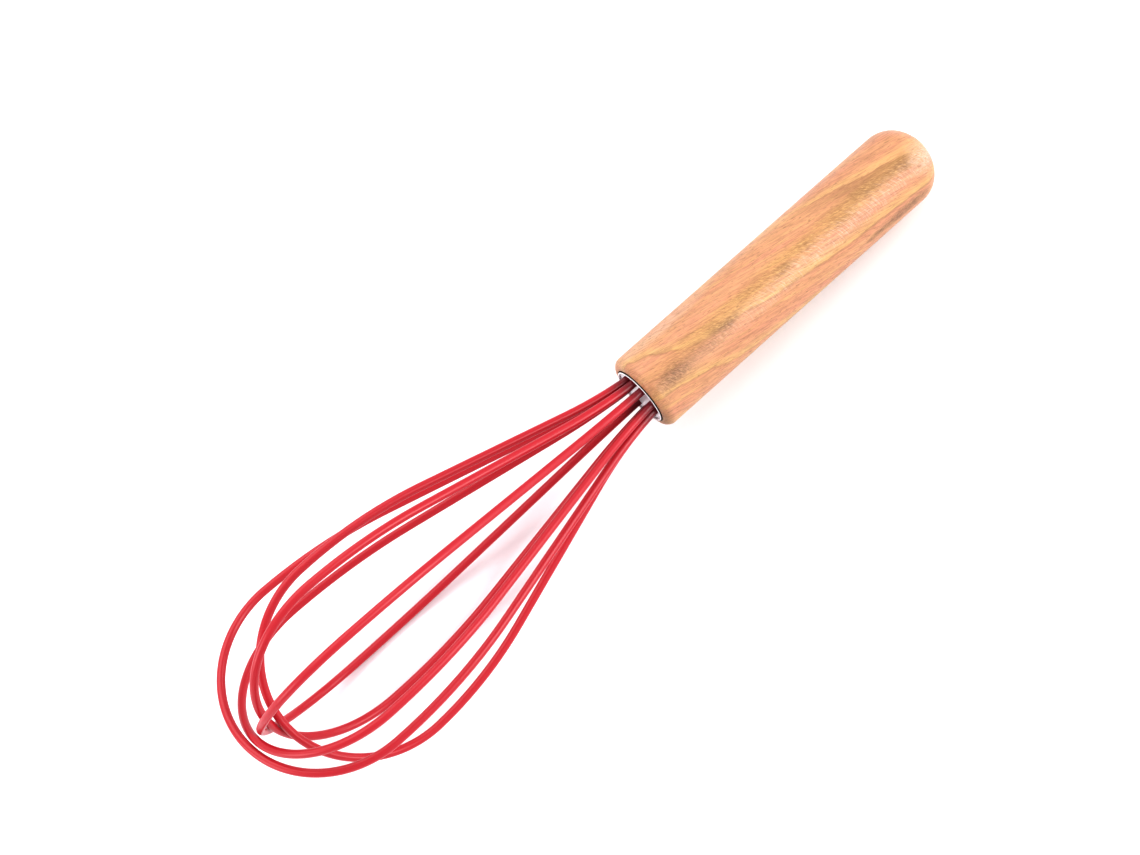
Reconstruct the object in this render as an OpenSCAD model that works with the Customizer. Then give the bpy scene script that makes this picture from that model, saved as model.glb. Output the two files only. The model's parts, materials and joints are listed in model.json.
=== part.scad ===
// Balloon whisk with a wooden handle and five silicone coated wire loops, lying as it rests on a table.
// The two lowest wire legs and the butt of the handle touch z = 0, and the balloon points to +X.
// The pieces are made along the whisk's own axis, with x = 0 at the front of the wood, and are then
// rolled and tipped together into the resting place, which is worked out from the sizes.

/* [Handle] */
// Length of the wooden handle
handle_l = 114.4; // [95:0.1:140]
// Diameter of the handle
handle_d = 24.5; // [24:0.1:32]
// Rounding of the handle's front edge
front_edge_r = 2.6; // [1:0.1:2.8]
// Radius of the corner between the handle's side and its butt
butt_corner_r = 10; // [5:0.5:10.5]
// How far the butt's crown rises above that corner
butt_rise = 0.8; // [0.6:0.1:3]

/* [Ferrule] */
// Outer diameter of the steel cup in the handle
cup_d = 18.3; // [17:0.1:18.8]
// Wall of the cup
cup_wall = 0.6; // [0.4:0.05:1]
// Length of the cup
cup_l = 24; // [22:1:40]
// How far the cup's rim stands out of the wood
rim_proud = 0.5; // [0.2:0.1:1.2]
// Glue gap between the wood and the cup
wood_gap = 0.3; // [0.1:0.05:0.4]
// Thickness of the plate that the wires pass through
plate_t = 1.2; // [0.8:0.1:2]
// How far the plate lies below the rim
plate_recess = 0.6; // [0.2:0.1:4]
// Clearance of the plate in the cup
plate_gap = 0.05; // [0.02:0.01:0.1]

/* [Wires] */
// Diameter of the steel wire inside each loop
core_d = 1.5; // [1:0.1:1.8]
// Diameter over the silicone coat
coat_d = 2.5; // [2.2:0.05:2.6]
// Glue line between the wire and its coat
bond_gap = 0.03; // [0.02:0.01:0.1]
// Clearance of a coat in its hole in the plate
hole_gap = 0.06; // [0.03:0.01:0.1]
// Diameter of the circle that the ten legs stand on
hole_circle_d = 13; // [12.4:0.1:13.4]
// Length of coat behind the plate
coat_tail = 5; // [2:0.5:6]
// Length of bare wire behind its coat
core_tail = 11; // [5:0.5:12]

/* [Balloon] */
// Length of the balloon, from the wood to the outside of the longest loop
balloon_l = 149.8; // [130:0.1:180]
// Diameter over the balloon at its widest
balloon_d = 65.8; // [55:0.1:75]
// Share of a leg's length that is straight, between its outward curve and the bend to the widest place
straight_share = 0.44; // [0.2:0.01:0.6]
// Radius of the short bend where a leg leaves the plate
exit_r = 20; // [12:1:30]
// Angle that this bend turns a leg outward
exit_turn = 8; // [4:0.5:10]
// Clearance between one loop's tip and the next one's
nest_gap = 0.35; // [0.2:0.05:0.8]
// Turn of each loop about the whisk's axis, from upright, shortest loop first
loop_turns = [-44.5, -15, 16.5, 61.5, 85.5];
// Lean of each loop toward its upper leg, in its own plane, because the loops are bent by hand
loop_leans = [-1.7, 1.2, 1.3, -0.6, -0.9];

/* [Hidden] */
$fn = 48;

// Cuts run past the faces that they open by this much
overrun = 1;
// Every second stretch of a loop runs into its neighbours by join_lap and is thinner by join_step,
// so that the stretches join cleanly
join_lap = 0.2;
join_step = 0.01;
// Steps of a bisection, enough for a thousandth of a millimetre
solve_steps = 40;
// A whisk never tips up by more than this much
steepest_tip = 30;
// Straight pieces in the outlines of the butt, the front edge and the cup's rim
butt_steps = 24;
edge_steps = 16;
rim_steps = 12;

// Handle: its outline is a straight side, two corners and a shallow crown
handle_r = handle_d / 2;
corner_ring_r = handle_r - butt_corner_r;
dome_l = butt_corner_r + butt_rise;
crown_r = (dome_l ^ 2 + corner_ring_r ^ 2 - butt_corner_r ^ 2) / (2 * butt_rise);
crown_turn = asin(corner_ring_r / (crown_r - butt_corner_r));
corner_x = dome_l - handle_l;
crown_x = crown_r - handle_l;

// Ferrule: the cup, the plate inside its rim and the epoxy behind the plate
cup_r = cup_d / 2;
cup_bore_r = cup_r - cup_wall;
cup_back_x = rim_proud - cup_l;
bore_r = cup_r + wood_gap;
rim_round_r = cup_wall / 2;
plate_x = rim_proud - plate_recess;
plate_r = cup_bore_r - plate_gap;
plug_front_x = plate_x - plate_t;
plug_back_x = cup_back_x + cup_wall;

// Wires
coat_r = coat_d / 2;
core_r = core_d / 2;
coat_bore_r = core_r + bond_gap;
hole_r = coat_r + hole_gap;
leg_r = hole_circle_d / 2;
coat_end_x = plug_front_x - coat_tail;
core_end_x = coat_end_x - core_tail;
loops = [for (i = [0 : len(loop_turns) - 1]) i];

// Loop outline in its own plane: a straight end, exit bend, flare, straight leg, shoulder and round tip.
// The exit bend and the flare curve outward, and the shoulder and the tip curve in again.
// A half loop is drawn with its own leg upward, and side is 1 for a loop's upper leg and -1 for its lower.
tip_r = balloon_d / 2 - coat_r;
nest_step = coat_d + nest_gap;
function tip_x(i) = balloon_l - coat_r - (len(loop_turns) - 1 - i) * nest_step - tip_r;
function lean(i, side) = side * loop_leans[i];
function out_way(turn) = [-sin(turn), cos(turn)];
function tip_c(i, side) = tip_x(i) * [cos(lean(i, side)), sin(lean(i, side))];
exit_c = [plate_x, leg_r + exit_r];
exit_end = exit_c - exit_r * out_way(exit_turn);

// Flare and shoulder share one radius. The slope of the straight leg between them is the one at which
// what the two bends cover lies in the direction that the straight leaves for them.
function left_for_bends(span, slope) = span - straight_share * norm(span) * [cos(slope), sin(slope)];
function covered_by_bends(slope, lean) =
    [2 * sin(slope) - sin(exit_turn) - sin(lean), cos(exit_turn) + cos(lean) - 2 * cos(slope)];
function leg_slope(span, lean, low, high, steps = solve_steps) =
    let (mid = (low + high) / 2, left = left_for_bends(span, mid), bent = covered_by_bends(mid, lean))
    steps == 0 ? mid
    : left[0] * bent[1] > left[1] * bent[0] ? leg_slope(span, lean, low, mid, steps - 1)
    : leg_slope(span, lean, mid, high, steps - 1);
// Slope and bend radius of one leg
function solved_leg(i, side) =
    let (span = tip_c(i, side) + tip_r * out_way(lean(i, side)) - exit_end,
         slope = leg_slope(span, lean(i, side), atan2(span[1], span[0]), 90))
    [slope, norm(left_for_bends(span, slope)) / norm(covered_by_bends(slope, lean(i, side)))];
upper_legs = [for (i = loops) solved_leg(i, 1)];
lower_legs = [for (i = loops) solved_leg(i, -1)];
function leg_turn(i, side) = (side > 0 ? upper_legs : lower_legs)[i][0];
function bend_r(i, side) = (side > 0 ? upper_legs : lower_legs)[i][1];
function flare_c(i, side) = exit_end + bend_r(i, side) * out_way(exit_turn);
function shoulder_c(i, side) = tip_c(i, side) + (tip_r - bend_r(i, side)) * out_way(lean(i, side));

// Resting place. Heights are measured from the whisk's axis at the front of the wood, for a whisk
// tipped up by the angle tip toward its balloon and rolled about its axis by the angle roll.
// The lowest point of a leg lies on its shoulder arc, and the lowest point of the butt on its corner.
function leg_low(i, roll, tip) =
    let (c = shoulder_c(i, -1), down = cos(loop_turns[i] + roll) * cos(tip))
    c[0] * sin(tip) - c[1] * down - bend_r(i, -1) * norm([sin(tip), down]) - coat_r;
function butt_low(tip) = corner_x * sin(tip) - corner_ring_r * cos(tip) - butt_corner_r;
function rest_tip(i, roll, low = 0, high = steepest_tip, steps = solve_steps) =
    let (mid = (low + high) / 2)
    steps == 0 ? mid
    : leg_low(i, roll, mid) > butt_low(mid) ? rest_tip(i, roll, low, mid, steps - 1)
    : rest_tip(i, roll, mid, high, steps - 1);
// The two loops nearest to upright, one turned each way, are the ones that touch the table
left_turn = max([for (t = loop_turns) if (t < 0) t]);
right_turn = min([for (t = loop_turns) if (t >= 0) t]);
left_loop = search(left_turn, loop_turns)[0];
right_loop = search(right_turn, loop_turns)[0];
function even_roll(low, high, steps = solve_steps) =
    let (roll = (low + high) / 2)
    steps == 0 ? roll
    : rest_tip(left_loop, roll) > rest_tip(right_loop, roll) ? even_roll(low, roll, steps - 1)
    : even_roll(roll, high, steps - 1);
rest_roll = even_roll(-right_turn, -left_turn);
rest_pitch = rest_tip(left_loop, rest_roll);
rest_z = -butt_low(rest_pitch);
// Furthest reach of the tips and of the butt along X, and of the loops to both sides along Y, which
// give the middle of the whole length and width
function upright_share(i) = cos(loop_turns[i] + rest_roll);
function sideways_share(i) = sin(loop_turns[i] + rest_roll);
function front_reach(i) =
    tip_c(i, 1) * [cos(rest_pitch), -upright_share(i) * sin(rest_pitch)]
    + tip_r * norm([cos(rest_pitch), upright_share(i) * sin(rest_pitch)]) + coat_r;
function side_reach(i, way) =
    tip_c(i, 1)[1] * sideways_share(i) + way * (tip_r * abs(sideways_share(i)) + coat_r);
front_x = max([for (i = loops) front_reach(i)]);
back_x = crown_x * cos(rest_pitch) - crown_r;
rest_x = -(front_x + back_x) / 2;
rest_y = -(max([for (i = loops) side_reach(i, 1)]) + min([for (i = loops) side_reach(i, -1)])) / 2;

echo(rest_roll = rest_roll, rest_pitch = rest_pitch, rest_x = rest_x, rest_y = rest_y, rest_z = rest_z);

// Points of an arc about c, from one direction to another
function arc(c, r, from, to, steps) =
    [for (s = [0 : steps]) let (a = from + (to - from) * s / steps) c + r * [cos(a), sin(a)]];

// Puts what is made along the whisk's axis into its resting place
module at_rest() {
    translate([rest_x, rest_y, rest_z]) rotate([0, -rest_pitch, 0]) rotate([-rest_roll, 0, 0]) children();
}

// Stands a shape made along Z on the whisk's axis, with its top toward the balloon
module along_axis(x = 0) {
    translate([x, 0, 0]) rotate([0, 90, 0]) children();
}

// Turned solid from an outline given as points of radius and place along the axis
module turned(points) {
    along_axis() rotate_extrude() polygon(points);
}

// Repeats a shape at each of the ten legs, in the plate and in the epoxy
module at_legs() {
    for (i = loops, side = [-1, 1])
        rotate([-loop_turns[i], 0, 0]) translate([0, 0, side * leg_r]) children();
}

// Straight round rod along the axis between two places
module rod(r, from, to) {
    along_axis(from) cylinder(r = r, h = to - from);
}

// One bend of a loop: the section swept about c in the loop's plane, between two directions
module bend(c, r, from, to, lap = 0) {
    more = lap / r * 180 / PI;
    translate([c[0], 0, c[1]]) rotate([90, 0, 0])
        rotate_extrude(start = from - more, angle = to - from + 2 * more) translate([r, 0]) children();
}

// Straight run of the section in the loop's plane
module run(from, to, lap = 0) {
    l = norm(to - from);
    way = (to - from) / l;
    start = from - lap * way;
    translate([start[0], 0, start[1]]) rotate([0, 90 - atan2(way[1], way[0]), 0])
        linear_extrude(l + 2 * lap) children();
}

// Half of loop i, from its end in the epoxy to its widest place
module half_loop(i, side, end_x) {
    slope = leg_turn(i, side);
    r = bend_r(i, side);
    flare = flare_c(i, side);
    shoulder = shoulder_c(i, side);
    run([end_x, leg_r], [plate_x, leg_r]) children(0);
    bend(exit_c, exit_r, -90, exit_turn - 90, join_lap) children(1);
    bend(flare, r, exit_turn - 90, slope - 90) children(0);
    run(flare - r * out_way(slope), shoulder + r * out_way(slope), join_lap) children(1);
    bend(shoulder, r, 90 + lean(i, side), 90 + slope) children(0);
}

// Whole loop i with its legs starting at end_x, from a section and the thinner one for every second stretch
module loop(i, end_x) {
    rotate([-loop_turns[i], 0, 0]) {
        half_loop(i, 1, end_x) { children(0); children(1); }
        rotate([180, 0, 0]) half_loop(i, -1, end_x) { children(0); children(1); }
        bend(tip_c(i, 1), tip_r, lean(i, 1) - 90, lean(i, 1) + 90, join_lap) children(1);
    }
}

module handle() {
    color([0.87, 0.62, 0.42]) at_rest() difference() {
        turned(concat(
            [[0, 0]],
            arc([handle_r - front_edge_r, -front_edge_r], front_edge_r, 90, 0, edge_steps),
            arc([corner_ring_r, corner_x], butt_corner_r, 0, crown_turn - 90, butt_steps),
            arc([0, crown_x], crown_r, crown_turn - 90, -90, butt_steps)
        ));
        rod(bore_r, cup_back_x, overrun);
    }
}

module ferrule_cup() {
    color([0.82, 0.83, 0.85]) at_rest() turned(concat(
        [[0, cup_back_x], [cup_r, cup_back_x]],
        arc([cup_r - rim_round_r, rim_proud - rim_round_r], rim_round_r, 0, 180, rim_steps),
        [[cup_bore_r, plug_back_x], [0, plug_back_x]]
    ));
}

module wire_plate() {
    color([0.76, 0.77, 0.79]) at_rest() difference() {
        rod(plate_r, plug_front_x, plate_x);
        at_legs() rod(hole_r, plug_front_x - overrun, plate_x + overrun);
    }
}

module potting_plug() {
    color([0.85, 0.8, 0.6]) at_rest() difference() {
        rod(plate_r, plug_back_x, plug_front_x);
        at_legs() rod(hole_r, coat_end_x, plug_front_x + overrun);
        at_legs() rod(coat_bore_r, core_end_x, coat_end_x + overrun);
    }
}

module wire_core(i) {
    color([0.7, 0.71, 0.73]) at_rest() loop(i, core_end_x) {
        circle(core_r);
        circle(core_r - join_step);
    }
}

module ring(outer_r, inner_r) {
    difference() {
        circle(outer_r);
        circle(inner_r);
    }
}

module silicone_coat(i) {
    color([0.82, 0.13, 0.17]) at_rest() loop(i, coat_end_x) {
        ring(coat_r, coat_bore_r);
        ring(coat_r - join_step, coat_bore_r + join_step);
    }
}

handle();
ferrule_cup();
wire_plate();
potting_plug();
wire_core(0);  // wire_core_1
wire_core(1);  // wire_core_2
wire_core(2);  // wire_core_3
wire_core(3);  // wire_core_4
wire_core(4);  // wire_core_5
silicone_coat(0);  // silicone_coat_1
silicone_coat(1);  // silicone_coat_2
silicone_coat(2);  // silicone_coat_3
silicone_coat(3);  // silicone_coat_4
silicone_coat(4);  // silicone_coat_5
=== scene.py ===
"""Silicone whisk: camera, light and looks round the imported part."""
import json
import math
import bpy
from mathutils import Matrix, Vector


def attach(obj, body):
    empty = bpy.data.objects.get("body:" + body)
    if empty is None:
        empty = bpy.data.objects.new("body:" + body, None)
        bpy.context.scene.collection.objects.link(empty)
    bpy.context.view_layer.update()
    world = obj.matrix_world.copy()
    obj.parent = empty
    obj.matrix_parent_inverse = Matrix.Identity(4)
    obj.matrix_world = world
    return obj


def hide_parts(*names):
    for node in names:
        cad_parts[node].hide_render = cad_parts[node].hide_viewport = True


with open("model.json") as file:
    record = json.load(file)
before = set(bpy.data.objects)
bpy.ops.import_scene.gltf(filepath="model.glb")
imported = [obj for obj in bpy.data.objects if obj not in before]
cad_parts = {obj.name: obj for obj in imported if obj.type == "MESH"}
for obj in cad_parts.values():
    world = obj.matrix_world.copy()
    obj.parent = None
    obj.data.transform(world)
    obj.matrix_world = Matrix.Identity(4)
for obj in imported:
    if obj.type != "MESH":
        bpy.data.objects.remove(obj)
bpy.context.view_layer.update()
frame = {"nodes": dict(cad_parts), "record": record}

# Sizes of the whisk in millimetres, as in the part
MM = 0.001
HANDLE_L = 114.4
HANDLE_D = 24.5
FRONT_EDGE_R = 2.6
BUTT_CORNER_R = 10.0
BUTT_RISE = 0.8
CUP_D = 18.3
CUP_WALL = 0.6
CUP_L = 24.0
RIM_PROUD = 0.5
WOOD_GAP = 0.3
PLATE_T = 1.2
PLATE_RECESS = 0.6
CORE_D = 1.5
COAT_D = 2.5
BOND_GAP = 0.03
HOLE_CIRCLE_D = 13.0
COAT_TAIL = 5.0
BALLOON_L = 149.8
BALLOON_D = 65.8
STRAIGHT_SHARE = 0.44
EXIT_R = 20.0
EXIT_TURN = math.radians(8.0)
NEST_GAP = 0.35
# How far each loop is turned about the axis, and how far it leans to one side, in degrees
LOOP_TURNS = (-44.5, -15.0, 16.5, 61.5, 85.5)
LOOP_LEANS = (-1.7, 1.2, 1.3, -0.6, -0.9)
# The small turn about its own axis that the whisk takes as it comes to rest, in degrees
REST_ROLL = -2.251

# Camera that matches the photograph, in metres, degrees and millimetres
CAMERA_AT = (0.0662, 0.21365, 0.58537)
CAMERA_TURN = (19.609, 10.258, 137.432)
CAMERA_LENS = 66.605
SENSOR_WIDTH = 36.0

# Softboxes that face the whisk: name, place and size in metres, power in watts
SOFTBOXES = (
    ("left softbox", (0.1, -0.85, 1.0), (1.3, 1.1), 9.0),
    ("right softbox", (-0.6, 1.0, 0.8), (0.5, 1.1), 10.0),
    ("butt softbox", (-1.1, 0.2, 0.6), (0.6, 0.6), 3.2),
    ("front softbox", (0.6, -0.1, 0.26), (0.3, 0.3), 1.0),
)
WORLD_STRENGTH = 0.75
EXPOSURE = 0.3
GAMMA = 0.75
FLOOR_SIZE = 3.0
FLOOR_COLOR = (0.88, 0.89, 0.915, 1)
FLOOR_ROUGHNESS = 0.9

# The silicone, with its fine grain's size and depth in millimetres, and the places along the whisk between
# which the painted shade at the coats' roots ends; all colours are linear
SILICONE_COLOR = (0.465, 0.019, 0.033, 1)
SILICONE_ROUGHNESS = 0.30
SILICONE_SPECULAR = 0.5
SILICONE_GRAIN = (0.3, 0.3, 0.3)
SILICONE_GRAIN_DEPTH = 0.004
# Painted shade: the coats darken toward the cup, standing in for the shadow that falls there
ROOT_SHADE_COLOR = (0.16, 0.006, 0.014, 1)
ROOT_SHADE_ENDS = (0.5, 9.0)

# The steel of the wires and the plate, and the epoxy
STEEL_COLOR = (0.80, 0.80, 0.83, 1)
STEEL_METALLIC = 0.5
STEEL_ROUGHNESS = 0.35
EPOXY_COLOR = (0.68, 0.60, 0.35, 1)
EPOXY_ROUGHNESS = 0.25

# The cup's steel, and the shade painted round it at the gap to the wood: how far in from the outside it ends
# and is full, in shares of the wall, and how far out along the rim it ends and is full, in shares of how far
# the rim stands proud
RIM_COLOR = (0.82, 0.82, 0.84, 1)
RIM_METALLIC = 0.3
RIM_ROUGHNESS = 0.3
# Painted shade: the dark line where the cup meets the wood
GAP_SHADE_COLOR = (0.03, 0.022, 0.02, 1)
GAP_SHADE_WALL_SHARES = (0.45, 0.25)
GAP_SHADE_RIM_SHARES = (0.75, 0.5)

WOOD_TONES = {
    "orange": (0.59, 0.32, 0.18, 1),
    "rose": (0.57, 0.28, 0.175, 1),
    "yellow": (0.63, 0.40, 0.185, 1),
    "gold": (0.50, 0.31, 0.12, 1),
    "brown": (0.35, 0.19, 0.09, 1),
    "umber": (0.20, 0.105, 0.055, 1),
    # painted_highlight is a painted highlight, not a tone of the wood itself
    "painted_highlight": (0.74, 0.53, 0.42, 1),
}
# Which way the wood's broad bands face, and how far its fibres slant round the handle, in degrees
GRAIN_FACES = 23.0
GRAIN_SLANT = 11.0
# Noises along the fibres: their size along, across and through them in millimetres, detail and roughness
GRAIN_NOISES = {
    "bands": ((60, 3.4, 14), 3.0, 0.55),
    "streaks": ((22, 0.9, 5), 3.0, 0.6),
    "fibres": ((6, 0.3, 1.5), 2.0, 0.6),
    "flakes": ((1.6, 0.3, 0.7), 2.0, 0.6),
    "pores": ((1.8, 0.22, 0.8), 1.0, 0.5),
}
# Noises on the unrolled surface: their size along and round the handle, turn in radians, detail and roughness
SURFACE_NOISES = {
    "rings": ((0.42, 3.6, 1), 0.06, 2.5, 0.65),
    "curls": ((0.5, 1.2, 1), 0.25, 4.0, 0.7),
}
# Tints: noise, tone, then the noise's values between which the tone comes in and its strengths at them
BAND_TINTS = (("bands", "orange", (0.35, 0.65, 0.0, 1.0)),)
STREAK_TINTS = (("streaks", "yellow", (0.5, 0.72, 0.0, 0.6)), ("streaks", "brown", (0.46, 0.28, 0.0, 0.4)))
CURLY_TINTS = (("curls", "yellow", (0.52, 0.64, 0.0, 0.95)), ("curls", "brown", (0.48, 0.36, 0.0, 0.65)))
# The pale strokes paint the highlight band along the handle; the brown ones are figure within it
STROKE_AND_HIGHLIGHT_TINTS = (("rings", "painted_highlight", (0.48, 0.62, 0.0, 0.5)), ("rings", "brown", (0.44, 0.32, 0.0, 0.25)))
FINE_TINTS = (
    ("fibres", "umber", (0.36, 0.66, 0.0, 0.30)),
    ("flakes", "yellow", (0.52, 0.70, 0.0, 0.28)),
    ("pores", "umber", (0.62, 0.72, 0.0, 0.5)),
)
# How the streaks break up the layers, and the curls the patches, in the tints' terms
LAYER_BREAKS = (0.3, 0.6, 0.55, 1.0)
PATCH_BREAKS = (0.62, 0.38, 0.3, 1.0)

# Edges between the wood's broad growth layers, as (place along the handle, turn about it in degrees)
BUTT_EDGE = ((-116, 30), (-108, 18), (-85, -10), (-69, -36), (-40, -75), (0, -120))
LONG_EDGE = (
    (-116, 76), (-87, 61), (-73, 56), (-57, 46), (-44, 37), (-35, 28), (-19, 17), (-9, -10), (0, -35),
)
FRONT_EDGE = ((-116, 150), (-48, 96), (-30, 80), (-14, 54), (0, 41))
UNDER_EDGE = ((-116, 210), (-60, 170), (-20, 130), (0, 105))
FAR_EDGE = ((-116, -50), (-80, -95), (-40, -140), (0, -175))
# Looks beside an edge: the edge, then (distance in mm, tone, strength) from below it up, then the places
# along the handle between which they come in and between which they go out
WOOD_LAYERS = (
    (BUTT_EDGE, ((-7.0, "brown", 0.0), (-3.5, "brown", 0.55), (-0.25, "brown", 1.0), (0.1, "brown", 0.0)),
     (-110, -105, -90, -62)),
    (BUTT_EDGE, ((-0.3, "yellow", 0.0), (0.2, "yellow", 0.75), (1.3, "yellow", 0.5), (3.5, "yellow", 0.0)),
     (-119, -118, -50, 10)),
    (LONG_EDGE, ((-3.0, "rose", 0.0), (-1.0, "rose", 0.7), (-0.3, "brown", 0.6), (0.2, "yellow", 1.0),
                 (1.4, "yellow", 0.7), (3.5, "yellow", 0.0)), (-119, -118, 0, 10)),
    (FRONT_EDGE, ((-3.0, "rose", 0.0), (-0.9, "rose", 0.6), (-0.3, "brown", 0.4), (0.2, "yellow", 1.0),
                  (1.3, "yellow", 0.7), (3.2, "yellow", 0.0)), (-119, -118, 0, 10)),
    (UNDER_EDGE, ((-5.0, "brown", 0.0), (-0.3, "brown", 0.5), (0.3, "yellow", 0.8), (1.8, "yellow", 0.5),
                  (4.0, "yellow", 0.0)), (-119, -118, 0, 10)),
    (FAR_EDGE, ((-5.0, "rose", 0.0), (-0.3, "rose", 0.6), (0.3, "yellow", 0.8), (1.8, "yellow", 0.5),
                (4.0, "yellow", 0.0)), (-119, -118, 0, 10)),
)
# Patches: tone, place along the handle, turn about it in degrees, half length, half width, slant in degrees,
# strength
WOOD_PATCHES = (
    ("umber", -101, 22, 7, 1.9, 8, 0.85),
    ("umber", -88, 14, 8, 2.2, 6, 0.8),
    ("brown", -76, 12, 7, 2.2, 6, 0.65),
    ("brown", -63, 15, 6, 1.8, 6, 0.7),
    ("umber", -54, 20, 4.5, 1.6, 8, 0.85),
    ("brown", -42, 14, 8, 1.8, 8, 0.65),
    ("brown", -22, 6, 8, 1.2, 14, 0.6),
    ("brown", -9, 29, 11, 3.6, 0, 1.0),
    ("umber", -10, 28, 6, 3.0, 0, 0.75),
    ("brown", -23, 29, 11, 3.0, 6, 0.8),
    ("umber", -29, 23, 5.5, 2.0, 10, 0.95),
    ("brown", -77, 24, 6, 2.0, 6, 0.7),
    # These two patches are painted highlights: on the butt and on the upper side near the cup
    ("painted_highlight", -109, 31, 6.5, 5.5, 0, 0.9),
    ("painted_highlight", -16, -38, 18, 3.0, 0, 0.5),
    ("umber", -96, 82, 11, 2.2, 3, 0.95),
    ("umber", -84, 80, 7, 1.4, 3, 0.8),
    ("brown", -11, -6, 6, 0.7, 20, 0.7),
    ("yellow", -110, 2, 4, 1.6, 20, 0.6),
)
# The strips of curly grain and of strokes across the grain, the latter carrying a painted highlight band, in
# the patches' terms, and how much gold lies under the curls
CURLY_STRIP = (-60, 15, 62, 3.2, 1, 1.0)
STROKE_AND_HIGHLIGHT_STRIP = (-74, 34, 58, 3.6, 0, 1.0)
CURLY_GOLD = 0.45
# A patch comes in between these shares of its half length and half width
PATCH_END_SHARES = (1.3, 0.25)
# How the layers and patches sway: size of the noise, its detail and roughness, and the reach in millimetres
SWAY_SIZE = (12, 3.5, 1)
SWAY_DETAIL = 3.0
SWAY_ROUGHNESS = 0.6
SWAY_REACH = (8.0, 1.8, 0.0)
NOISE_MIDDLE = (0.5, 0.5, 0.5)
# The strokes bow toward the balloon away from this turn, in degrees, by so much per square millimetre, and
# take these shares of the sway
BOW_TURN = 42.0
BOW = 0.09
BOW_SWAY_SHARES = (0.12, 0.3, 0.0)
# How deep the turning rings, the strokes and the fibres are
RING_DEPTH = 0.012
STROKE_DEPTH = 0.035
FIBRE_DEPTH = 0.01
# Where shade is painted on the front edge, in shares of its radius, and how strongly, in the tints' terms, by
# the place round the handle in millimetres
EDGE_SHADE_END_SHARES = (1.2, 0.1)
EDGE_SHADE_SIDES = (9, 17, 0.1, 0.7)
# The oil's roughness follows the rings, in the tints' terms
WOOD_ROUGHNESS = (0.36, 0.64, 0.34, 0.50)
WOOD_SPECULAR = 0.4

# How finely curves are drawn, and how near two points count as one
LATHE_SIDES = 144
ARC_STEPS = 24
TUBE_SIDES = 28
STEP_ANGLE = math.radians(1.5)
LEAST_BEND_STEPS = 2
SHARP_ANGLE = math.radians(35.0)
SOLVE_STEPS = 50
ON_AXIS = 1e-6
SAME_POINT = 1e-4

# The whisk's own frame: x along the axis toward the balloon from the front of the wood, y level, z up
AXIS = Vector((1, 0, 0))
grip = frame["record"]["mounts"][0]
along = -Vector(grip["axis"])
front = Vector(grip["pos_m"]) + along * (grip["dims"]["length_mm"] / 2 + FRONT_EDGE_R) * MM
level = Vector((0, 1, 0))
upward = along.cross(level)
whisk_turn = Matrix((along, level, upward)).transposed().to_4x4()
whisk = Matrix.Translation(front) @ whisk_turn @ Matrix.Scale(MM, 4)


def arc(center, radius, start, end):
    """Points of an arc, with the angles in radians."""
    points = []
    for k in range(ARC_STEPS + 1):
        a = start + (end - start) * k / ARC_STEPS
        points.append((center[0] + radius * math.cos(a), center[1] + radius * math.sin(a)))
    return points


def mesh_object(name, vertices, faces, node, slot):
    """A smooth mesh given in the whisk's own millimetres, which stands for a CAD node."""
    mesh = bpy.data.meshes.new(name)
    mesh.from_pydata([whisk @ Vector(v) for v in vertices], [], faces)
    mesh.validate()
    mesh.shade_smooth()
    mesh.set_sharp_from_angle(angle=SHARP_ANGLE)
    piece = bpy.data.objects.new(name, mesh)
    bpy.context.scene.collection.objects.link(piece)
    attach(piece, "root")
    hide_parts(node)
    return piece


def lathe(outline):
    """Vertices and faces of a solid turned about the whisk's axis from (x, radius) points in order."""
    vertices, rows = [], []
    for x, r in outline:
        if r < ON_AXIS:
            rows.append([len(vertices)])
            vertices.append((x, 0, 0))
            continue
        rows.append(range(len(vertices), len(vertices) + LATHE_SIDES))
        for k in range(LATHE_SIDES):
            a = 2 * math.pi * k / LATHE_SIDES
            vertices.append((x, r * math.sin(a), r * math.cos(a)))
    faces = []
    for low, high in zip(rows, rows[1:]):
        for k in range(LATHE_SIDES):
            n = (k + 1) % LATHE_SIDES
            if len(low) == 1:
                faces.append((low[0], high[n], high[k]))
            elif len(high) == 1:
                faces.append((low[k], low[n], high[0]))
            else:
                faces.append((low[k], low[n], high[n], high[k]))
    return vertices, faces


def handle_outline():
    """From the bore's floor out through the mouth and round to the middle of the butt."""
    radius = HANDLE_D / 2
    bore_r = CUP_D / 2 + WOOD_GAP
    floor_x = RIM_PROUD - CUP_L
    ring_r = radius - BUTT_CORNER_R
    dome = BUTT_CORNER_R + BUTT_RISE
    crown_r = (dome ** 2 + ring_r ** 2 - BUTT_CORNER_R ** 2) / (2 * BUTT_RISE)
    crown_turn = math.asin(ring_r / (crown_r - BUTT_CORNER_R))
    half = math.pi / 2
    points = [(floor_x, 0), (floor_x, bore_r), (0, bore_r)]
    points += arc((-FRONT_EDGE_R, radius - FRONT_EDGE_R), FRONT_EDGE_R, 0, half)
    points += arc((dome - HANDLE_L, ring_r), BUTT_CORNER_R, half, math.pi - crown_turn)
    points += arc((crown_r - HANDLE_L, 0), crown_r, math.pi - crown_turn, math.pi)[1:]
    return points


def cup_outline():
    """From the middle of the cup's back, out, over the rim and down to its inner floor."""
    radius = CUP_D / 2
    rim = CUP_WALL / 2
    back_x = RIM_PROUD - CUP_L
    points = [(back_x, 0), (back_x, radius)]
    points += arc((RIM_PROUD - rim, radius - rim), rim, math.pi / 2, -math.pi / 2)
    points += [(back_x + CUP_WALL, radius - CUP_WALL), (back_x + CUP_WALL, 0)]
    return points


def out_way(turn):
    """The outward direction at a place of a loop's outline where it heads by turn from the axis."""
    return Vector((-math.sin(turn), math.cos(turn)))


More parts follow.
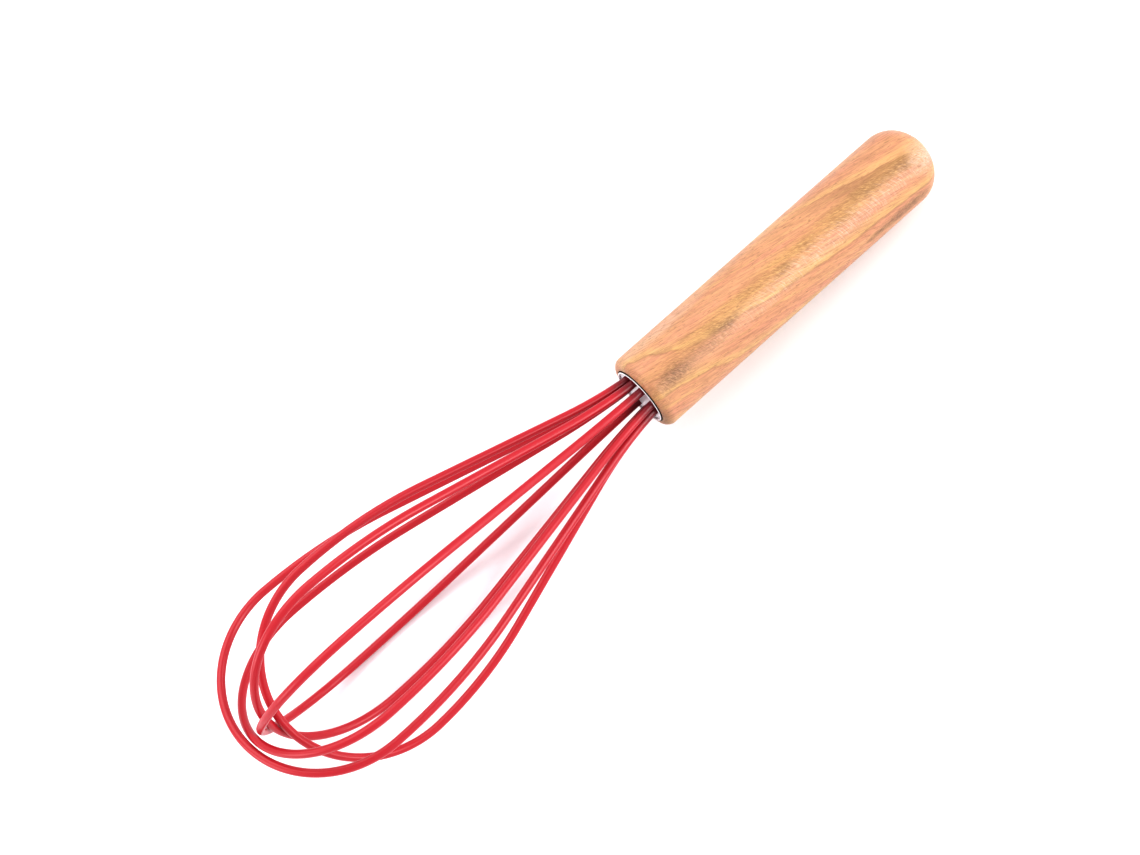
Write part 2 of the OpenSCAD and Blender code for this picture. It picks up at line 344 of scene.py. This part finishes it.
def leg_slope(span, lean):
    """Slope of a leg's straight stretch between its two bends of one radius, and that radius."""
    low, high = math.atan2(span.y, span.x), math.pi / 2
    for _ in range(SOLVE_STEPS):
        slope = (low + high) / 2
        left = span - Vector((math.cos(slope), math.sin(slope))) * STRAIGHT_SHARE * span.length
        bent = Vector((2 * math.sin(slope) - math.sin(EXIT_TURN) - math.sin(lean),
                       math.cos(EXIT_TURN) + math.cos(lean) - 2 * math.cos(slope)))
        if left.x * bent.y > left.y * bent.x:
            high = slope
        else:
            low = slope
    return slope, left.length / bent.length


def loop_outline(index, side):
    """Half a loop in its own plane, from the plate to the tip, as (place, radius from the axis, heading)."""
    lean = side * math.radians(LOOP_LEANS[index])
    tip_r = (BALLOON_D - COAT_D) / 2
    length = BALLOON_L - COAT_D / 2 - (len(LOOP_TURNS) - 1 - index) * (COAT_D + NEST_GAP)
    plate_x = RIM_PROUD - PLATE_RECESS
    tip_c = Vector((math.cos(lean), math.sin(lean))) * (length - tip_r)
    exit_c = Vector((plate_x, HOLE_CIRCLE_D / 2 + EXIT_R))
    exit_end = exit_c - out_way(EXIT_TURN) * EXIT_R
    slope, radius = leg_slope(tip_c + out_way(lean) * tip_r - exit_end, lean)
    flare_c = exit_end + out_way(EXIT_TURN) * radius
    shoulder_c = tip_c + out_way(lean) * (tip_r - radius)
    points = [(plate_x - PLATE_T - COAT_TAIL, HOLE_CIRCLE_D / 2, 0.0)]

    def bend(c, r, start, end):
        """Headings run from start to end; a positive radius curves outward, a negative one inward."""
        steps = max(LEAST_BEND_STEPS, math.ceil(abs(end - start) / STEP_ANGLE))
        for k in range(steps + 1):
            a = start + (end - start) * k / steps
            points.append((c.x + r * math.sin(a), c.y - r * math.cos(a), a))

    bend(exit_c, EXIT_R, 0, EXIT_TURN)
    bend(flare_c, radius, EXIT_TURN, slope)
    bend(shoulder_c, -radius, slope, lean)
    bend(tip_c, -tip_r, lean, -math.pi / 2)
    unique = points[:1]
    for p in points[1:]:
        if math.dist(p[:2], unique[-1][:2]) > SAME_POINT:
            unique.append(p)
    return unique


def loop_path(index):
    """A whole loop as (point, outward direction) pairs in the whisk's frame, and its plane's normal."""
    turn = math.radians(LOOP_TURNS[index] + REST_ROLL)
    out = Vector((0, math.sin(turn), math.cos(turn)))
    halves = []
    for side in (1, -1):
        away = out * side
        half = []
        for x, r, heading in loop_outline(index, side):
            half.append((AXIS * x + away * r, away * math.cos(heading) - AXIS * math.sin(heading)))
        halves.append(half)
    # The halves share the tip, so the second one runs back from the point before it
    return halves[0] + halves[1][-2::-1], AXIS.cross(out)


def coat_mesh(index):
    """A silicone tube along a loop, open inside for its wire."""
    path, normal = loop_path(index)
    vertices, faces = [], []
    rings = []
    for radius in (COAT_D / 2, CORE_D / 2 + BOND_GAP):
        rows = []
        for point, out in path:
            rows.append(range(len(vertices), len(vertices) + TUBE_SIDES))
            for k in range(TUBE_SIDES):
                a = 2 * math.pi * k / TUBE_SIDES
                vertices.append(point + out * radius * math.cos(a) + normal * radius * math.sin(a))
        rings.append(rows)
    outer, inner = rings
    for k in range(TUBE_SIDES):
        n = (k + 1) % TUBE_SIDES
        for a, b in zip(outer, outer[1:]):
            faces.append((a[k], b[k], b[n], a[n]))
        for a, b in zip(inner, inner[1:]):
            faces.append((a[n], b[n], b[k], a[k]))
        faces.append((outer[0][n], inner[0][n], inner[0][k], outer[0][k]))
        faces.append((outer[-1][k], inner[-1][k], inner[-1][n], outer[-1][n]))
    return vertices, faces


def round_handle(turn):
    """How far round the handle a turn in degrees reaches, in millimetres."""
    return math.radians(turn) * HANDLE_D / 2


class Graph:
    """Short ways to add nodes to a material; a value is a number, a tuple or another node's output."""

    # The sockets of a Mix node that hold colours
    MIX_FIRST = 6
    MIX_SECOND = 7
    MIX_RESULT = 2

    def __init__(self, material):
        material.use_nodes = True
        self.nodes, self.links = material.node_tree.nodes, material.node_tree.links
        self.shader = self.nodes["Principled BSDF"]

    def put(self, socket, value):
        if isinstance(value, bpy.types.NodeSocket):
            self.links.new(value, socket)
        else:
            socket.default_value = value

    def add(self, kind, values=(), **settings):
        node = self.nodes.new("ShaderNode" + kind)
        for name, value in settings.items():
            setattr(node, name, value)
        for key, value in dict(values).items():
            self.put(node.inputs[key], value)
        return node

    def set(self, **values):
        for name, value in values.items():
            self.put(self.shader.inputs[name.replace("_", " ")], value)

    def math(self, operation, *values):
        return self.add("Math", enumerate(values), operation=operation).outputs[0]

    def vector(self, operation, *values):
        return self.add("VectorMath", enumerate(values), operation=operation).outputs[0]

    def split(self, place):
        return self.add("SeparateXYZ", {0: place}).outputs

    def join(self, x, y):
        return self.add("CombineXYZ", {0: x, 1: y}).outputs[0]

    def within(self, place, at, turn, size):
        """The place seen from a frame set at a point, turned, and as large as size."""
        values = {"Vector": place, "Location": at, "Rotation": turn, "Scale": size}
        return self.add("Mapping", values, vector_type="TEXTURE").outputs[0]

    def noise(self, place, turn, size, detail=2.0, roughness=0.5, output="Fac"):
        """Noise in a frame at the place's origin, turned, and as large as size."""
        spot = self.within(place, (0, 0, 0), turn, size)
        values = {"Vector": spot, "Scale": 1.0, "Detail": detail, "Roughness": roughness}
        return self.add("TexNoise", values).outputs[output]

    def fade(self, value, low, high, start=0.0, end=1.0):
        """From start where the value is low to end where it is high, with soft ends."""
        values = {"Value": value, "From Min": low, "From Max": high, "To Min": start, "To Max": end}
        return self.add("MapRange", values, interpolation_type="SMOOTHSTEP").outputs[0]

    def curve(self, value, points):
        """Arc length round the handle along a line through (place, turn in degrees) points."""
        start, end = points[0][0], points[-1][0]
        low, high = min(t for _, t in points), max(t for _, t in points)
        share = self.math("DIVIDE", self.math("SUBTRACT", value, start), end - start)
        node = self.add("FloatCurve", {"Value": share})
        line = node.mapping.curves[0]
        spots = [((x - start) / (end - start), (t - low) / (high - low)) for x, t in points]
        line.points[0].location, line.points[1].location = spots[0], spots[-1]
        for spot in spots[1:-1]:
            line.points.new(*spot)
        node.mapping.update()
        return self.math("MULTIPLY_ADD", node.outputs[0], round_handle(high - low), round_handle(low))

    def ramp(self, value, stops):
        """Colour and alpha along a value, from (position, colour) stops."""
        node = self.add("ValToRGB", {"Fac": value})
        elements = node.color_ramp.elements
        elements[0].position, elements[0].color = stops[0]
        elements[1].position, elements[1].color = stops[-1]
        for position, tone in stops[1:-1]:
            elements.new(position).color = tone
        return node.outputs["Color"], node.outputs["Alpha"]

    def mix(self, share, first, second):
        node = self.add("Mix", {"Factor": share}, data_type="RGBA")
        self.put(node.inputs[self.MIX_FIRST], first)
        self.put(node.inputs[self.MIX_SECOND], second)
        return node.outputs[self.MIX_RESULT]

    def bump(self, height):
        """A bump from a height in millimetres."""
        return self.add("Bump", {"Strength": 1.0, "Distance": MM, "Height": height}).outputs[0]


def whisk_place(graph):
    """The place on the whisk in its own millimetres."""
    place = graph.add("TexCoord").outputs["Object"]
    return graph.within(place, front, whisk.to_euler(), (MM, MM, MM))


def grain_turn():
    """The turn of the fibres' frame: they run a little across the handle."""
    side = math.radians(GRAIN_FACES)
    across = Vector((0, math.cos(side), -math.sin(side)))
    facing = Vector((0, math.sin(side), math.cos(side)))
    fibre = Matrix.Rotation(-math.radians(GRAIN_SLANT), 3, facing) @ AXIS
    depth = fibre.cross(across).normalized()
    return Matrix((fibre, depth.cross(fibre), depth)).transposed().to_euler()


def surface_places(graph, x, around):
    """The place on the unrolled handle, swayed for the layers and patches, and bowed for the strokes."""
    surface = graph.join(x, around)
    sway = graph.noise(surface, (0, 0, 0), SWAY_SIZE, SWAY_DETAIL, SWAY_ROUGHNESS, "Color")
    sway = graph.vector("MULTIPLY", graph.vector("SUBTRACT", sway, NOISE_MIDDLE), SWAY_REACH)
    aside = graph.math("SUBTRACT", around, round_handle(BOW_TURN))
    bowed_x = graph.math("MULTIPLY_ADD", graph.math("MULTIPLY", aside, aside), -BOW, x)
    bowed_sway = graph.vector("MULTIPLY", sway, BOW_SWAY_SHARES)
    return graph.vector("ADD", surface, sway), graph.vector("ADD", graph.join(bowed_x, around), bowed_sway)


def tint(graph, color, noises, tints, within=1.0):
    """The colour with tones mixed in by noises, as far as the share within allows."""
    for noise, tone, strengths in tints:
        share = graph.math("MULTIPLY", within, graph.fade(noises[noise], *strengths))
        color = graph.mix(share, color, WOOD_TONES[tone])
    return color


def add_layers(graph, color, swayed, x, streaks):
    """The colour with the looks beside the edges of the growth layers."""
    parts = graph.split(swayed)
    for edge, looks, (in_start, in_end, out_start, out_end) in WOOD_LAYERS:
        height = graph.math("SUBTRACT", graph.curve(parts[0], edge), parts[1])
        low, high = looks[0][0], looks[-1][0]
        across_edge = graph.math("DIVIDE", graph.math("SUBTRACT", height, low), high - low)
        stops = []
        for at, tone, strength in looks:
            stops.append(((at - low) / (high - low), WOOD_TONES[tone][:3] + (strength,)))
        tone, share = graph.ramp(across_edge, stops)
        share = graph.math("MULTIPLY", share, graph.fade(streaks, *LAYER_BREAKS))
        share = graph.math("MULTIPLY", share, graph.fade(x, in_start, in_end))
        share = graph.math("MULTIPLY", share, graph.fade(x, out_end, out_start))
        color = graph.mix(share, color, tone)
    return color


def patch(graph, swayed, x, turn, half_length, half_width, slant, strength):
    """How strongly a patch shows at a place."""
    at = (x, round_handle(turn), 0)
    near = graph.within(swayed, at, (0, 0, -math.radians(slant)), (half_length, half_width, 1))
    reach = graph.add("VectorMath", {0: near}, operation="LENGTH").outputs["Value"]
    return graph.fade(reach, *PATCH_END_SHARES, 0.0, strength)


def front_edge_shade(graph, x, around):
    """How strongly shade is painted on the rounded front edge, most of all on one side."""
    near_end, far_end = (-FRONT_EDGE_R * share for share in EDGE_SHADE_END_SHARES)
    return graph.math("MULTIPLY", graph.fade(x, near_end, far_end), graph.fade(around, *EDGE_SHADE_SIDES))


def wood_material():
    material = bpy.data.materials.new("oiled wood")
    graph = Graph(material)
    place = whisk_place(graph)
    x, y, z = graph.split(place)
    around = graph.math("MULTIPLY", graph.math("ARCTAN2", y, z), HANDLE_D / 2)
    swayed, bowed = surface_places(graph, x, around)
    noises = {}
    for name, (size, detail, roughness) in GRAIN_NOISES.items():
        noises[name] = graph.noise(place, grain_turn(), size, detail, roughness)
    for name, (size, turn, detail, roughness) in SURFACE_NOISES.items():
        noises[name] = graph.noise(bowed, (0, 0, turn), size, detail, roughness)

    # The layers, patches, curly grain and strokes of this piece of wood, with painted highlights and painted
    # shade among them
    color = tint(graph, WOOD_TONES["rose"], noises, BAND_TINTS)
    color = tint(graph, color, noises, STREAK_TINTS)
    color = add_layers(graph, color, swayed, x, noises["streaks"])
    breaks = graph.fade(noises["curls"], *PATCH_BREAKS)
    for tone, *where in WOOD_PATCHES:
        share = graph.math("MULTIPLY", patch(graph, swayed, *where), breaks)
        color = graph.mix(share, color, WOOD_TONES[tone])
    curly = patch(graph, swayed, *CURLY_STRIP)
    color = graph.mix(graph.math("MULTIPLY", curly, CURLY_GOLD), color, WOOD_TONES["gold"])
    color = tint(graph, color, noises, CURLY_TINTS, curly)
    # Painted highlight band, broken by strokes across the grain that the bump below also raises
    strokes_and_highlight = patch(graph, swayed, *STROKE_AND_HIGHLIGHT_STRIP)
    color = tint(graph, color, noises, STROKE_AND_HIGHLIGHT_TINTS, strokes_and_highlight)
    # Painted shade on the front edge's rounding, which turns away from the light
    color = graph.mix(front_edge_shade(graph, x, around), color, WOOD_TONES["brown"])
    color = tint(graph, color, noises, FINE_TINTS)

    # Fine rings that turning left, under the oil
    ring_depth = graph.math("MULTIPLY_ADD", strokes_and_highlight, STROKE_DEPTH, RING_DEPTH)
    fibre_height = graph.math("MULTIPLY", noises["fibres"], FIBRE_DEPTH)
    bump = graph.bump(graph.math("MULTIPLY_ADD", noises["rings"], ring_depth, fibre_height))
    roughness = graph.fade(noises["rings"], *WOOD_ROUGHNESS)
    graph.set(Base_Color=color, Roughness=roughness, Normal=bump, Specular_IOR_Level=WOOD_SPECULAR)
    return material


def silicone_material():
    """Smooth red silicone, with painted shade darkening it where the coats come out of the cup."""
    material = bpy.data.materials.new("red silicone")
    graph = Graph(material)
    place = whisk_place(graph)
    grain = graph.noise(place, (0, 0, 0), SILICONE_GRAIN)
    bump = graph.bump(graph.math("MULTIPLY", grain, SILICONE_GRAIN_DEPTH))
    # Painted shade near the cup, fading out along the coats
    color = graph.mix(graph.fade(graph.split(place)[0], *ROOT_SHADE_ENDS), ROOT_SHADE_COLOR, SILICONE_COLOR)
    graph.set(Base_Color=color, Normal=bump)
    graph.set(Roughness=SILICONE_ROUGHNESS, Specular_IOR_Level=SILICONE_SPECULAR)
    return material


def steel_material():
    material = bpy.data.materials.new("steel")
    Graph(material).set(Base_Color=STEEL_COLOR, Metallic=STEEL_METALLIC, Roughness=STEEL_ROUGHNESS)
    return material


def cup_material():
    """The cup's steel, with painted shade in a dark line round the outside of its rim, at the gap to the
    wood.
    """
    material = bpy.data.materials.new("cup steel")
    graph = Graph(material)
    x, y, z = graph.split(whisk_place(graph))
    square = graph.math("ADD", graph.math("POWER", y, 2.0), graph.math("POWER", z, 2.0))
    wall_start, wall_end = (CUP_D / 2 - CUP_WALL * share for share in GAP_SHADE_WALL_SHARES)
    rim_start, rim_end = (RIM_PROUD * share for share in GAP_SHADE_RIM_SHARES)
    outside = graph.fade(graph.math("SQRT", square), wall_start, wall_end)
    # Painted shade on the rim's outer wall, at the gap to the wood
    gap_shade = graph.math("MULTIPLY", outside, graph.fade(x, rim_start, rim_end))
    color = graph.mix(gap_shade, RIM_COLOR, GAP_SHADE_COLOR)
    graph.set(Base_Color=color, Metallic=RIM_METALLIC, Roughness=RIM_ROUGHNESS)
    return material


def epoxy_material():
    material = bpy.data.materials.new("epoxy")
    Graph(material).set(Base_Color=EPOXY_COLOR, Roughness=EPOXY_ROUGHNESS)
    return material


def paint(piece, material):
    piece.data.materials.clear()
    piece.data.materials.append(material)


def build_whisk():
    silicone = silicone_material()
    steel = steel_material()
    paint(mesh_object("turned_handle", *lathe(handle_outline()), "handle", "wood"), wood_material())
    paint(mesh_object("drawn_cup", *lathe(cup_outline()), "ferrule_cup", "steel"), cup_material())
    for index in range(len(LOOP_TURNS)):
        coat = mesh_object(f"coat_{index + 1}", *coat_mesh(index), f"silicone_coat_{index + 1}", "silicone")
        paint(coat, silicone)
        paint(frame["nodes"][f"wire_core_{index + 1}"], steel)
    paint(frame["nodes"]["wire_plate"], steel)
    paint(frame["nodes"]["potting_plug"], epoxy_material())


def add_floor():
    bpy.ops.mesh.primitive_plane_add(size=FLOOR_SIZE, location=(0, 0, 0))
    floor = bpy.context.object
    floor.name = "floor"
    material = bpy.data.materials.new("white paper")
    Graph(material).set(Base_Color=FLOOR_COLOR, Roughness=FLOOR_ROUGHNESS)
    paint(floor, material)


def add_light(name, at, size, power):
    """A softbox that faces the middle of the whisk."""
    data = bpy.data.lights.new(name, "AREA")
    data.shape = "RECTANGLE"
    data.size, data.size_y = size
    data.energy = power
    light = bpy.data.objects.new(name, data)
    light.location = at
    light.rotation_euler = (-Vector(at)).to_track_quat("-Z", "Y").to_euler()
    bpy.context.scene.collection.objects.link(light)


def add_camera():
    data = bpy.data.cameras.new("camera")
    data.lens = CAMERA_LENS
    data.sensor_width = SENSOR_WIDTH
    camera = bpy.data.objects.new("camera", data)
    camera.location = CAMERA_AT
    camera.rotation_euler = [math.radians(a) for a in CAMERA_TURN]
    bpy.context.scene.collection.objects.link(camera)
    bpy.context.scene.camera = camera


def set_world():
    world = bpy.data.worlds.new("studio")
    world.use_nodes = True
    background = world.node_tree.nodes["Background"]
    background.inputs["Color"].default_value = (1, 1, 1, 1)
    background.inputs["Strength"].default_value = WORLD_STRENGTH
    bpy.context.scene.world = world


build_whisk()
add_floor()
add_camera()
for softbox in SOFTBOXES:
    add_light(*softbox)
set_world()
view = bpy.context.scene.view_settings
view.view_transform = "Standard"
view.exposure = EXPOSURE
view.gamma = GAMMA
